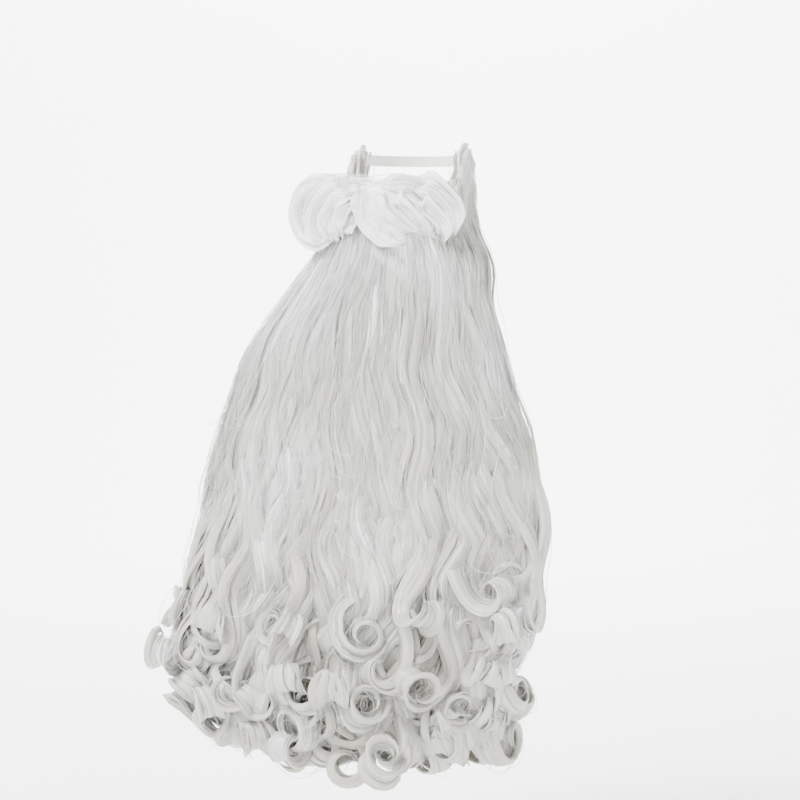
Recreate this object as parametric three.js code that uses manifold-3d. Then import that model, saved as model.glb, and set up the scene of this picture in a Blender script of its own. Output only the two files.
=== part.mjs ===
// A very long white costume beard: a cloth backing that cups the chin, a fall of wavy hair that
// ends in curls, a separate moustache over the mouth opening, and an elastic band for the head.
// Units are millimetres, +Z is up and the beard faces -Y. The origin is the point of the chin,
// on the inner face of the backing.
import * as THREE from "three";
import { mergeVertices } from "three/addons/utils/BufferGeometryUtils.js";
import Module from "manifold-3d";

const wasm = await Module();
wasm.setup();

// Cloth backing, from ear to ear round the jaw
const JAW_HALF_WIDTH = 70;
const JAW_DEPTH = 105;
const BACKING_WALL = 2;
const SIDEBURN_TOP = 96;
const SIDEBURN_FOOT = 36;
const CHIN_DROP = 28;
const CHIN_CUP_INSET = 16;
const MOUTH_HALF_WIDTH = 30;
const MOUTH_HEIGHT = 14;
const MOUTH_CENTRE = 21;

// Elastic band round the back of the head
const BAND_WIDTH = 14;
const BAND_THICKNESS = 1.2;
const BAND_CENTRE = 76;
const BAND_OVERLAP = 16;
const HEAD_BACK = 187;

// Fall of hair
const BEARD_DROP = 703;
const FALL_HALF_WIDTH = 240;
const FALL_FRONT = 106;
const FALL_THICKNESS = 70;
const EDGE_THICKNESS = 50;
const BOTTOM_SWING = 46;
const CHEEK_HAIR = 20;
const CHIN_HAIR = 30;

// Locks of the fall
const LOCK_HALF_WIDTH = 23;
const LOCK_HALF_THICKNESS = 10;
const LOCK_PROUD = 7;
const LOCK_STEP = 66;
const ROOT_DROP = 12;
const WAVE_LENGTH = 130;
const WAVE_REACH = 11;
const WAVE_DEPTH = 4.4;
const CURL_RADIUS = 24;
const CURL_DRIFT = 6;
const CURL_TURNS = 1.15;

// Moustache
const LIP_BAND_HALF_WIDTH = 50;
const LIP_BAND_HEIGHT = 13;
const LIP_BAND_THICKNESS = 2;
const RIGHT_WING_REACH = 118;
const LEFT_WING_REACH = 88;
const WING_DROP = 68;
const WING_BULGE = 34;
const WING_SETBACK = 17;
const WING_HALF_THICKNESS = 9;
const WING_CURL_RADIUS = 12;

// Gap between pieces that touch
const GAP = 0.3;

const SEAT = BACKING_WALL + GAP;

// Upper edge of the backing: share of the way from chin to ear, and height as a share of
// SIDEBURN_TOP. It passes over the lip, dips on the cheek and rises to the sideburn.
const CHEEK_LINE = [
  { across: 0, height: 0.49 },
  { across: 0.26, height: 0.46 },
  { across: 0.5, height: 0.36 },
  { across: 0.7, height: 0.48 },
  { across: 0.82, height: 0.82 },
  { across: 0.9, height: 0.98 },
  { across: 1, height: 1 },
];

// Upper edge of the hair, in the same shares: under the mouth, then along the cheek line.
const HAIRLINE = [
  { across: 0, height: 0.05 },
  { across: 0.3, height: 0.07 },
  { across: 0.5, height: 0.24 },
  { across: 0.7, height: 0.42 },
  { across: 0.82, height: 0.76 },
  { across: 0.9, height: 0.94 },
  { across: 1, height: 0.97 },
];

// Sections of the hair beside the jaw: height as a share of SIDEBURN_TOP, and fullness as a
// share of CHEEK_HAIR and CHIN_HAIR.
const JAW_SECTIONS = [
  { height: 1, fullness: 0.5 },
  { height: 0.5, fullness: 0.8 },
  { height: 0, fullness: 1 },
];

// Sections of the fall: drop as a share of BEARD_DROP, width of FALL_HALF_WIDTH, front of
// FALL_FRONT, wrap (how far the side edges lie back) of the section's own half width, middle of
// FALL_THICKNESS, edge of EDGE_THICKNESS and swing of BOTTOM_SWING.
const FALL_SECTIONS = [
  { drop: 0.085, width: 0.53, front: 0.42, wrap: 0.86, middle: 0.6, edge: 0.66, swing: 0 },
  { drop: 0.145, width: 0.6, front: 0.5, wrap: 0.66, middle: 0.68, edge: 0.72, swing: 0.2 },
  { drop: 0.245, width: 0.75, front: 0.63, wrap: 0.46, middle: 0.78, edge: 0.84, swing: 0.4 },
  { drop: 0.32, width: 0.82, front: 0.73, wrap: 0.38, middle: 0.84, edge: 0.88, swing: 0.35 },
  { drop: 0.44, width: 0.93, front: 0.86, wrap: 0.34, middle: 0.92, edge: 0.94, swing: 0.25 },
  { drop: 0.57, width: 0.97, front: 0.93, wrap: 0.34, middle: 1, edge: 1, swing: 0.35 },
  { drop: 0.685, width: 1, front: 0.98, wrap: 0.34, middle: 1.06, edge: 1, swing: 0.6 },
  { drop: 0.8, width: 0.98, front: 1, wrap: 0.34, middle: 1.08, edge: 1, swing: 1 },
  { drop: 0.89, width: 0.92, front: 0.99, wrap: 0.34, middle: 1, edge: 0.9, swing: 0.75 },
  { drop: 0.95, width: 0.84, front: 0.96, wrap: 0.34, middle: 0.9, edge: 0.8, swing: 0.3 },
  { drop: 1, width: 0.7, front: 0.9, wrap: 0.34, middle: 0.8, edge: 0.7, swing: 0 },
];

// Rows of locks: count, how far across they reach, drop of their tips at the middle as a share of
// BEARD_DROP, rise of the tips at the sides, random spread of the tips and length in the same
// shares (1 starts at the hairline), depth of EDGE_THICKNESS, and the seed of the row.
const LOCK_ROWS = [
  { count: 10, limit: 0.95, tip: 0.8, edgeRise: 0.14, spread: 0.1, length: 1, depth: 0.2, salt: 1 },
  { count: 7, limit: 0.86, tip: 0.87, edgeRise: 0.07, spread: 0.06, length: 0.16, depth: 0.1, salt: 20 },
  { count: 10, limit: 0.9, tip: 0.965, edgeRise: 0.08, spread: 0.03, length: 0.16, depth: 0.4, salt: 40 },
];

// Locks of one wing of the moustache: root as a share of LIP_BAND_HALF_WIDTH, reach as a share of
// the wing's reach, drop of WING_DROP, bulge of WING_BULGE, width of LOCK_HALF_WIDTH, and turns of
// the end curl.
const WING_LOCKS = [
  { root: 0.06, reach: 0.16, drop: 0.66, bulge: 0.8, width: 0.8, turns: 0.5 },
  { root: 0.26, reach: 0.42, drop: 0.88, bulge: 1, width: 0.95, turns: 0.6 },
  { root: 0.48, reach: 0.64, drop: 1, bulge: 1.05, width: 0.95, turns: 0.6 },
  { root: 0.72, reach: 0.84, drop: 1, bulge: 0.95, width: 0.9, turns: 0.55 },
  { root: 0.94, reach: 1, drop: 0.85, bulge: 0.75, width: 0.8, turns: 0.5 },
];

// Lower edge of the core that carries the locks: its drop at the middle as a share of BEARD_DROP,
// and how much higher it ends at the sides.
const CORE_EDGE = { drop: 0.9, rise: 0.1 };

const lerp = THREE.MathUtils.lerp;
const smooth = (x, low, high) => THREE.MathUtils.smoothstep(x, low, high);

// A repeatable number from 0 to 1 for copy `index` of a repeated piece.
function vary(index, salt) {
  const wave = Math.sin(index * 12.9898 + salt * 78.233) * 43758.5453;
  return wave - Math.floor(wave);
}

// A smooth curve through a table: keys rise, and each row gives the same number of values.
function tableCurve(keys, rows) {
  const curve = new THREE.CubicInterpolant(keys, rows.flat(), rows[0].length);
  return (key) => Array.from(curve.evaluate(THREE.MathUtils.clamp(key, keys[0], keys.at(-1))));
}

function edgeCurve(table) {
  const curve = tableCurve(
    table.map((row) => row.across),
    table.map((row) => [row.height * SIDEBURN_TOP]),
  );
  return (across) => curve(Math.abs(across))[0];
}

const cheekLine = edgeCurve(CHEEK_LINE);
const hairline = edgeCurve(HAIRLINE);

// Lower edge of the backing: under the chin, rising to the ear.
function jawLine(across) {
  return lerp(-CHIN_DROP, SIDEBURN_FOOT, smooth(Math.abs(across), 0.1, 1));
}

// A closed solid through equal rings of points, each anticlockwise about the path.
function loft(rings) {
  const count = rings[0].length;
  const points = rings.flat();
  const faces = [];
  for (let i = 0; i + 1 < rings.length; i++) {
    for (let j = 0; j < count; j++) {
      const a = i * count + j;
      const b = i * count + ((j + 1) % count);
      faces.push(a, b, b + count, a, b + count, a + count);
    }
  }
  const last = (rings.length - 1) * count;
  for (let j = 1; j + 1 < count; j++) {
    faces.push(0, j + 1, j);
    faces.push(last, last + j, last + j + 1);
  }
  return solidFrom(points, faces);
}

// A closed wall between two equal grids of points, rows from top to bottom, columns from -X to +X.
function wall(outer, inner) {
  const rows = outer.length;
  const columns = outer[0].length;
  const points = [...outer.flat(), ...inner.flat()];
  const shift = rows * columns;
  const faces = [];
  const quad = (a, b, c, d) => faces.push(a, b, c, a, c, d);
  for (let i = 0; i + 1 < rows; i++) {
    for (let j = 0; j + 1 < columns; j++) {
      const a = i * columns + j;
      quad(a, a + columns, a + columns + 1, a + 1);
      quad(a + shift, a + shift + 1, a + shift + columns + 1, a + shift + columns);
    }
    const left = i * columns;
    const right = left + columns - 1;
    quad(left, left + shift, left + shift + columns, left + columns);
    quad(right, right + columns, right + columns + shift, right + shift);
  }
  const bottom = (rows - 1) * columns;
  for (let j = 0; j + 1 < columns; j++) {
    quad(j, j + 1, j + 1 + shift, j + shift);
    quad(bottom + j, bottom + j + shift, bottom + j + 1 + shift, bottom + j + 1);
  }
  return solidFrom(points, faces);
}

function solidFrom(points, faces) {
  return new wasm.Manifold(
    new wasm.Mesh({
      numProp: 3,
      vertProperties: new Float32Array(points.flatMap((point) => point.toArray())),
      triVerts: new Uint32Array(faces),
    }),
  );
}

function solidFromGeometry(geometry) {
  const bare = geometry.clone();
  bare.deleteAttribute("normal");
  bare.deleteAttribute("uv");
  const merged = mergeVertices(bare, 1e-3);
  return new wasm.Manifold(
    new wasm.Mesh({
      numProp: 3,
      vertProperties: merged.attributes.position.array,
      triVerts: new Uint32Array(merged.index.array),
    }),
  );
}

function geometryFrom(solid) {
  const mesh = solid.getMesh();
  const geometry = new THREE.BufferGeometry();
  geometry.setAttribute("position", new THREE.BufferAttribute(mesh.vertProperties, 3));
  geometry.setIndex(new THREE.BufferAttribute(mesh.triVerts, 1));
  geometry.computeVertexNormals();
  return geometry;
}

// The largest body of a solid, without the crumbs that a cut leaves loose.
function largestBody(solid) {
  return solid.decompose().reduce((best, body) => (body.volume() > best.volume() ? body : best));
}

// A point on a half ellipse that is open to the back, and its directions there.
function archPoint({ halfWidth, front, side, centre = 0 }, across) {
  const angle = (across * Math.PI) / 2;
  const depth = side - front;
  const tangent = new THREE.Vector3(halfWidth * Math.cos(angle), depth * Math.sin(angle), 0);
  tangent.normalize();
  return {
    x: centre + halfWidth * Math.sin(angle),
    y: front + depth * (1 - Math.cos(angle)),
    tangent,
    outward: new THREE.Vector3(tangent.y, -tangent.x, 0),
  };
}

// The jaw's surface, moved outwards by `offset`. Below the chin it turns in to cup it.
function jawPoint(across, height, offset) {
  const cup = CHIN_CUP_INSET * Math.pow(THREE.MathUtils.clamp(-height / CHIN_DROP, 0, 1.2), 2);
  const arch = { halfWidth: JAW_HALF_WIDTH - cup + offset, front: cup - offset, side: JAW_DEPTH };
  const { x, y } = archPoint(arch, across);
  return new THREE.Vector3(x, y, height);
}

function cheekWall(upper, lower, acrossLimit, columns, rows, innerOffset, outerOffset) {
  const grid = (offset) =>
    Array.from({ length: rows + 1 }, (_, i) =>
      Array.from({ length: columns + 1 }, (_, j) => {
        const across = acrossLimit * (-1 + (2 * j) / columns);
        return jawPoint(across, lerp(upper(across), lower(across), i / rows), offset);
      }),
    );
  return wall(grid(outerOffset), grid(innerOffset));
}

function makeBacking() {
  const cloth = cheekWall(cheekLine, jawLine, 1, 24, 4, 0, BACKING_WALL);
  const radius = MOUTH_HEIGHT / 2;
  const straight = MOUTH_HALF_WIDTH - radius;
  const outline = new THREE.Shape();
  outline.moveTo(-straight, -radius);
  outline.lineTo(straight, -radius);
  outline.absarc(straight, 0, radius, -Math.PI / 2, Math.PI / 2, false);
  outline.lineTo(-straight, radius);
  outline.absarc(-straight, 0, radius, Math.PI / 2, (3 * Math.PI) / 2, false);
  const reach = JAW_DEPTH / 2 + BACKING_WALL;
  const slot = new THREE.ExtrudeGeometry(outline, {
    depth: 2 * reach,
    bevelEnabled: false,
    curveSegments: 6,
  });
  slot.rotateX(Math.PI / 2);
  slot.translate(0, reach, MOUTH_CENTRE);
  return cloth.subtract(solidFromGeometry(slot));
}

// The jaw as a solid, out to `offset` from the backing's inner face and open to the back.
function makeJawForm(offset) {
  const low = -CHIN_DROP - GAP;
  const high = 2 * SIDEBURN_TOP;
  const rows = 6;
  const columns = 24;
  const rings = Array.from({ length: rows + 1 }, (_, i) => {
    const height = i < rows ? lerp(low, 0, i / (rows - 1)) : high;
    const ring = Array.from({ length: columns + 1 }, (_, j) =>
      jawPoint(-1 + (2 * j) / columns, height, offset),
    );
    const back = (side) => new THREE.Vector3(ring.at(side).x, 2 * HEAD_BACK, height);
    return [...ring, back(-1), back(0)];
  });
  return loft(rings);
}

function makeBand() {
  const steps = 28;
  const overlapAngle = Math.acos(BAND_OVERLAP / JAW_DEPTH);
  const outerHalf = JAW_HALF_WIDTH * Math.sin(overlapAngle) - GAP;
  const rounds = HEAD_BACK - JAW_DEPTH - GAP;
  const rings = Array.from({ length: steps + 3 }, (_, i) => {
    const turn = THREE.MathUtils.clamp((i - 1) / steps, 0, 1) * Math.PI;
    const straight = i === 0 || i === steps + 2 ? BAND_OVERLAP : 0;
    const at = (inset, height) =>
      new THREE.Vector3(
        (outerHalf - inset) * Math.cos(turn),
        JAW_DEPTH - straight + (rounds - inset) * Math.sin(turn),
        height,
      );
    const low = BAND_CENTRE - BAND_WIDTH / 2;
    const high = BAND_CENTRE + BAND_WIDTH / 2;
    return [at(0, low), at(0, high), at(BAND_THICKNESS, high), at(BAND_THICKNESS, low)];
  });
  return loft(rings.map((ring) => ring.reverse()));
}

// Sections of the whole body of hair, by drop below the chin.
const hairSection = (() => {
  const seatHalf = JAW_HALF_WIDTH + SEAT;
  const jaw = JAW_SECTIONS.map(({ height, fullness }) => ({
    drop: -height * SIDEBURN_TOP,
    row: [
      seatHalf + fullness * CHEEK_HAIR,
      -SEAT - fullness * CHIN_HAIR,
      seatHalf,
      -SEAT,
      JAW_DEPTH,
      0,
    ],
  }));
  const fall = FALL_SECTIONS.map(({ drop, width, front, wrap, middle, edge, swing }) => {
    const half = width * FALL_HALF_WIDTH;
    return {
      drop: drop * BEARD_DROP,
      row: [
        half,
        -front * FALL_FRONT,
        half - edge * EDGE_THICKNESS,
        -front * FALL_FRONT + middle * FALL_THICKNESS,
        -front * FALL_FRONT + wrap * half,
        -swing * BOTTOM_SWING,
      ],
    };
  });
  const all = [...jaw, ...fall];
  const curve = tableCurve(
    all.map(({ drop }) => drop),
    all.map(({ row }) => row),
  );
  return (drop) => {
    const [outerHalf, outerFront, innerHalf, innerFront, side, centre] = curve(drop);
    return {
      outer: { halfWidth: outerHalf, front: outerFront, side, centre },
      inner: { halfWidth: innerHalf, front: innerFront, side, centre },
    };
  };
})();

// A point in the hair: inset below its outer surface, with its tangent and outward directions.
function hairPoint(across, drop, inset) {
  const { x, y, tangent, outward } = archPoint(hairSection(drop).outer, across);
  const position = new THREE.Vector3(x, y, -drop).addScaledVector(outward, -inset);
  return { position, tangent, outward };
}

// The core of the fall, which the locks are fused to.
function makeCore() {
  const columns = 14;
  const rows = 8;
  const grid = (pick) =>
    Array.from({ length: rows + 1 }, (_, i) =>
      Array.from({ length: columns + 1 }, (_, j) => {
        const across = -1 + (2 * j) / columns;
        const share = (i / rows) ** 1.2;
        const bottom = BEARD_DROP * (CORE_EDGE.drop - CORE_EDGE.rise * across ** 4);
        return pick(across, lerp(-hairline(across), bottom, share), share);
      }),
    );
  const outer = grid((across, drop, share) => {
    const inset = LOCK_PROUD * smooth(share, 0, 0.25);
    return hairPoint(across, drop, inset).position;
  });
  const inner = grid((across, drop) => {
    const { x, y } = archPoint(hairSection(drop).inner, across);
    return new THREE.Vector3(x, y + (drop < CHIN_DROP ? SEAT : 0), -drop);
  });
  return wall(outer, inner);
}

// A flat lock of hair: rings along a path, each with its width direction and half sizes.
function makeRibbon(stations, extra = 0) {
  const sides = 4;
  const rings = stations.map(({ position, along, widthways, halfWidth, halfThickness }) => {
    const across = widthways.clone().addScaledVector(along, -widthways.dot(along)).normalize();
    const through = along.clone().cross(across);
    return Array.from({ length: sides }, (_, j) => {
      const angle = Math.PI / 2 + (j * 2 * Math.PI) / sides;
      return position
        .clone()
        .addScaledVector(across, (halfWidth + extra) * Math.cos(angle))
        .addScaledVector(through, (halfThickness + extra) * Math.sin(angle));
    });
  });
  return loft(rings);
}

// Adds the curl at the end of a lock: the path turns about an axis while its radius shrinks.
function addCurl(stations, { axis, radius, turns, tighten, drift, stepsPerTurn }) {
  const steps = Math.round(turns * stepsPerTurn);
  const last = stations.at(-1);
  let position = last.position.clone();
  const along = last.along.clone();
  const around = axis.clone().addScaledVector(along, -axis.dot(along)).normalize();
  const flat = around.dot(last.widthways) < 0 ? around.clone().negate() : around.clone();
  const turnStep = (2 * Math.PI) / stepsPerTurn;
  for (let i = 1; i <= steps; i++) {
    const share = i / steps;
    const reach = radius * lerp(1, tighten, share) * turnStep;
    along.applyAxisAngle(around, turnStep / 2);
    position = position.clone().addScaledVector(along, reach);
    position.addScaledVector(around, (drift * turnStep) / (2 * Math.PI));
    along.applyAxisAngle(around, turnStep / 2);
    stations.push({
      position,
      along: along.clone(),
      widthways: flat,
      halfWidth: last.halfWidth * lerp(1, 0.55, share),
      halfThickness: last.halfThickness * lerp(1, 0.5, share),
    });
  }
  return flat;
}

// Turns a lock's flat side towards its curl's axis over the last stations of the fall.
function twistInto(stations, flat, count) {
  const start = stations.length - count;
  stations.slice(start).forEach((station, i) => {
    station.widthways = station.widthways.clone().lerp(flat, (i + 1) / count).normalize();
  });
}

function setDirections(stations) {
  stations.forEach((station, i) => {
    const before = stations[Math.max(i - 1, 0)].position;
    const after = stations[Math.min(i + 1, stations.length - 1)].position;
    station.along = after.clone().sub(before).normalize();
  });
}

// The path of one lock of the fall, from its root to the end of its curl.
function fallLock({ across, start, end, inset, phase, size, curlLean, curlSense }) {
  const steps = Math.max(3, Math.round((end - start) / LOCK_STEP));
  const stations = [];
  for (let i = 0; i <= steps; i++) {
    const share = i / steps;
    const drop = lerp(start, end, share);
    const waviness = smooth(drop, 0, 0.6 * BEARD_DROP);
    const angle = (2 * Math.PI * drop) / WAVE_LENGTH + phase;
    const swell = size * lerp(0.7, 1, smooth(share, 0, 0.3));
    const { position, tangent, outward } = hairPoint(across, drop, inset);
    position.addScaledVector(tangent, waviness * WAVE_REACH * Math.sin(angle));
    position.addScaledVector(outward, waviness * WAVE_DEPTH * Math.cos(angle));
    stations.push({
      position,
      outward,
      widthways: tangent,
      halfWidth: LOCK_HALF_WIDTH * swell,
      halfThickness: LOCK_HALF_THICKNESS * swell,
    });
  }
  setDirections(stations);
  const last = stations.at(-1);
  const axis = last.outward.clone().multiplyScalar(Math.cos(curlLean));
  axis.addScaledVector(last.widthways, Math.sin(curlLean)).multiplyScalar(curlSense);
  const straight = stations.slice();
  const flat = addCurl(stations, {
    axis,
    radius: CURL_RADIUS,
    turns: CURL_TURNS,
    tighten: 0.6,
    drift: curlSense * CURL_DRIFT,
    stepsPerTurn: 7,
  });
  twistInto(straight, flat, 3);
  return stations;
}

// One row of locks across the fall, from side to side.
function lockRow({ count, limit, tip, edgeRise, spread, length, depth, salt }) {
  return Array.from({ length: count }, (_, k) => {
    const across = lerp(-limit, limit, k / (count - 1));
    const end = BEARD_DROP * (tip - edgeRise * Math.abs(across) ** 3 - spread * vary(k, salt));
    return {
      across,
      start: Math.max(end - length * BEARD_DROP, ROOT_DROP - hairline(across)),
      end,
      inset: depth * EDGE_THICKNESS,
      phase: 2 * Math.PI * vary(k, salt + 1),
      size: lerp(0.9, 1.15, vary(k, salt + 2)),
      curlLean: lerp(0.2, 1.4, vary(k, salt + 3)),
      curlSense: across < 0 ? 1 : -1,
    };
  });
}

// One lock of the moustache, on the side given by `sign`.
function wingLock(row, sign, wingReach) {
  const rootAcross = (2 / Math.PI) * Math.asin((row.root * LIP_BAND_HALF_WIDTH) / JAW_HALF_WIDTH);
  const lipTop = cheekLine(rootAcross) - GAP;
  const root = jawPoint(sign * rootAcross, lipTop - LIP_BAND_HEIGHT / 2, SEAT + LIP_BAND_THICKNESS);
  const bulge = row.bulge * WING_BULGE;
  const end = new THREE.Vector3(
    sign * row.reach * wingReach,
    lerp(-bulge, WING_SETBACK, row.reach ** 2),
    lipTop - row.drop * WING_DROP,
  );
  const crest = root.clone().add(new THREE.Vector3(sign * 0.15 * bulge, -bulge, 0.3 * bulge));
  const shoulder = end.clone().add(new THREE.Vector3(sign * 0.1 * bulge, -0.5 * bulge, 0.9 * bulge));
  const curve = new THREE.CubicBezierCurve3(root, crest, shoulder, end);
  const steps = 5;
  const stations = Array.from({ length: steps + 1 }, (_, i) => {
    const share = i / steps;
    const swell = lerp(0.6, 1, smooth(share, 0, 0.5));
    return {
      position: curve.getPoint(share),
      widthways: new THREE.Vector3(1, 0.35 * row.root, 0).normalize(),
      halfWidth: LOCK_HALF_WIDTH * row.width * swell,
      halfThickness: WING_HALF_THICKNESS * swell,
    };
  });
  setDirections(stations);
  addCurl(stations, {
    axis: new THREE.Vector3(1, 0, 0),
    radius: WING_CURL_RADIUS,
    turns: row.turns,
    tighten: 0.8,
    drift: 0,
    stepsPerTurn: 8,
  });
  return stations;
}

function wingLocks() {
  return [
    ...WING_LOCKS.map((row) => wingLock(row, -1, RIGHT_WING_REACH)),
    ...WING_LOCKS.map((row) => wingLock(row, 1, LEFT_WING_REACH)),
  ];
}

// The moustache: a lip band with its locks, grown by `extra` where it is used as a cutter.
function makeMoustache(extra) {
  const limit = (2 / Math.PI) * Math.asin(LIP_BAND_HALF_WIDTH / JAW_HALF_WIDTH);
  const upper = (across) => cheekLine(across) - GAP + extra;
  const lower = (across) => cheekLine(across) - GAP - LIP_BAND_HEIGHT - extra;
  const outer = SEAT + LIP_BAND_THICKNESS + extra;
  const lipBand = cheekWall(upper, lower, limit, 10, 1, SEAT, outer);
  const hair = wingLocks().reduce((sum, stations) => sum.add(makeRibbon(stations, extra)), lipBand);
  return largestBody(hair.subtract(makeJawForm(SEAT)));
}

function makeBeardHair() {
  const locks = LOCK_ROWS.flatMap(lockRow).map((lock) => makeRibbon(fallLock(lock)));
  const hair = locks.reduce((sum, lock) => sum.add(lock), makeCore());
  return largestBody(hair.subtract(makeJawForm(SEAT)).subtract(makeMoustache(GAP)));
}

const clothMaterial = new THREE.MeshStandardMaterial({ color: 0xe6e3dc, roughness: 0.95 });
const hairMaterial = new THREE.MeshStandardMaterial({ color: 0xe3e2dd, roughness: 0.55 });
const moustacheMaterial = new THREE.MeshStandardMaterial({ color: 0xf0f0ee, roughness: 0.5 });
const elasticMaterial = new THREE.MeshStandardMaterial({ color: 0xf2f0ea, roughness: 0.8 });

const beard = new THREE.Group();

function addPiece(name, solid, material) {
  const mesh = new THREE.Mesh(geometryFrom(solid), material);
  mesh.name = name;
  beard.add(mesh);
}

addPiece("chin_backing", makeBacking(), clothMaterial);
addPiece("beard_fall", makeBeardHair(), hairMaterial);
addPiece("moustache", makeMoustache(0), moustacheMaterial);
addPiece("elastic_band", makeBand(), elasticMaterial);

export default beard;
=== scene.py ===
"""A very long white costume beard: hair in locks and ringlets, a rolled moustache, a cloth backing
and an elastic band. Lengths are in metres, +Z is up and the beard faces -Y."""

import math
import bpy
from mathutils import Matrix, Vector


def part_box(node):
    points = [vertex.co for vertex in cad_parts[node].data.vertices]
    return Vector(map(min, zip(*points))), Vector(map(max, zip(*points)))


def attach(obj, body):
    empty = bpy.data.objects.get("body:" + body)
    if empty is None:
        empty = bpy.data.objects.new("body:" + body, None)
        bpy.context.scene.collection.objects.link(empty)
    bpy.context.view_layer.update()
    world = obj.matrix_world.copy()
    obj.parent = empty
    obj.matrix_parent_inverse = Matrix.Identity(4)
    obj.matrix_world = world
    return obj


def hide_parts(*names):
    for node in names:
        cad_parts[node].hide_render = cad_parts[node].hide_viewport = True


bl_info = {
    "name": "Costume Beard",
    "version": (1, 0, 0),
    "blender": (4, 5, 0),
    "location": "View3D > Sidebar > Beard",
    "description": "Dresses a long white costume beard with locks, ringlets, moustache and cloth",
    "category": "Object",
}

from types import SimpleNamespace

import bmesh
import bpy
import numpy as np
from mathutils import Euler, Vector

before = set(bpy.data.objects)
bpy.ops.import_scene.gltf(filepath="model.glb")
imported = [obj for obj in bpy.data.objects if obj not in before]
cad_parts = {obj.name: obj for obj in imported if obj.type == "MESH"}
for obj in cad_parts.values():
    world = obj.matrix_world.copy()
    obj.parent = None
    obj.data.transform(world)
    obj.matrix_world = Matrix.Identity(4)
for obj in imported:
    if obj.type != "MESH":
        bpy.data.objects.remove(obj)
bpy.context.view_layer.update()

MM = 0.001
TURN = 2 * math.pi


def table(columns, *rows):
    """A table: the names of its columns, then a tuple for each row."""
    return [SimpleNamespace(**dict(zip(columns.split(), row))) for row in rows]


# Jaw and backing, as the frame has them
JAW_HALF_WIDTH = 70 * MM
JAW_DEPTH = 105 * MM
BACKING_WALL = 2 * MM
SIDEBURN_TOP = 96 * MM
SIDEBURN_FOOT = 36 * MM
CHIN_DROP = 28 * MM
CHIN_CUP_INSET = 16 * MM
MOUTH_HALF_WIDTH = 30 * MM
MOUTH_HEIGHT = 14 * MM
MOUTH_CENTRE = 21 * MM
GAP = 0.3 * MM
SEAT = BACKING_WALL + GAP

# Elastic band, as the frame has it
BAND_WIDTH = 14 * MM
BAND_THICKNESS = 1.2 * MM
BAND_CENTRE = 76 * MM
BAND_OVERLAP = 16 * MM
HEAD_BACK = 187 * MM

# Hem of the backing: how wide the cloth is turned in, how far that stands up, its stitches
HEM_WIDTH = 6 * MM
MOUTH_HEM_WIDTH = 3.5 * MM
HEM_RELIEF = 0.6 * MM
STITCH_INSET = 4.6 * MM
STITCH_LENGTH = 2.4 * MM
STITCH_GAP = 1.1 * MM
STITCH_RADIUS = 0.28 * MM

# Upper edge of the backing and of the hair: share of the way from chin to ear, and height as a
# share of SIDEBURN_TOP
CHEEK_LINE = table(
    "across height",
    (0.0, 0.49),
    (0.26, 0.46),
    (0.5, 0.36),
    (0.7, 0.48),
    (0.82, 0.82),
    (0.9, 0.98),
    (1.0, 1.0),
)
HAIRLINE = table(
    "across height",
    (0.0, 0.05),
    (0.3, 0.07),
    (0.5, 0.24),
    (0.7, 0.42),
    (0.82, 0.76),
    (0.9, 0.94),
    (1.0, 0.97),
)

# Sections of the hair beside the jaw: height as a share of SIDEBURN_TOP, fullness as a share of
# the cheek and chin hair
JAW_SECTIONS = table(
    "height fullness",
    (1.0, 0.5),
    (0.5, 0.8),
    (0.0, 1.0),
)

# Sections of the fall, each value a share of its own size: drop of the length, width of the half
# width, front of the reach to the front, wrap of the section's half width (how far back its sides
# come), middle and edge of the two thicknesses, and swing of the swing to -X
FALL_SECTIONS = table(
    "drop width front wrap middle edge swing",
    (0.085, 0.53, 0.42, 0.86, 0.6, 0.66, 0.0),
    (0.145, 0.6, 0.5, 0.66, 0.68, 0.72, 0.2),
    (0.245, 0.75, 0.63, 0.46, 0.78, 0.84, 0.4),
    (0.32, 0.82, 0.73, 0.38, 0.84, 0.88, 0.35),
    (0.44, 0.93, 0.86, 0.34, 0.92, 0.94, 0.25),
    (0.57, 0.97, 0.93, 0.34, 1.0, 1.0, 0.35),
    (0.685, 1.0, 0.98, 0.34, 1.06, 1.0, 0.6),
    (0.8, 0.98, 1.0, 0.34, 1.08, 1.0, 1.0),
    (0.89, 0.92, 0.99, 0.34, 1.0, 0.9, 0.6),
    (0.95, 0.84, 0.96, 0.34, 0.9, 0.8, 0.0),
    (1.0, 0.7, 0.9, 0.34, 0.8, 0.7, -0.3),
)

# Rows of tresses in the fall. limit: how far across they reach; tip: drop of the ends at the
# middle as a share of the length, rise: how much higher they end at the sides, spread: how much
# they vary; length: share of the fall's length, cut off at the hairline; depth: share of the edge
# thickness below the surface, or -1 on the inner side; strands: locks in each tress, and hairs
# that stray over them; half and thick: half width and half thickness of a tress in millimetres;
# turns of the end curl
LOCK_ROWS = table(
    "name count limit tip rise spread length depth strands hairs half thick turns",
    ("outer_tresses", 20, 0.96, 0.8, 0.12, 0.12, 1.0, 0.04, 8, 10, 21, 11, 0.9),
    ("under_tresses", 20, 0.96, 0.87, 0.16, 0.08, 1.0, 0.28, 6, 6, 20, 10, 1.0),
    ("deep_tresses", 18, 0.92, 0.92, 0.14, 0.05, 0.6, 0.55, 5, 3, 20, 10, 1.1),
    ("back_tresses", 20, 0.95, 0.9, 0.12, 0.08, 1.0, -1, 4, 4, 22, 4, 0.9),
    ("upper_ringlets", 18, 0.96, 0.76, 0.14, 0.14, 0.28, 0.02, 7, 4, 16, 10, 1.2),
    ("middle_ringlets", 22, 0.95, 0.87, 0.1, 0.1, 0.26, 0.08, 7, 4, 17, 10, 1.35),
    ("lower_ringlets", 24, 0.88, 0.92, 0.12, 0.06, 0.2, 0.3, 7, 4, 18, 10, 1.4),
    ("wisps", 220, 0.99, 0.72, 0.1, 0.4, 1.0, -0.02, 0, 1, 3, 3, 0.5),
)

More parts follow.
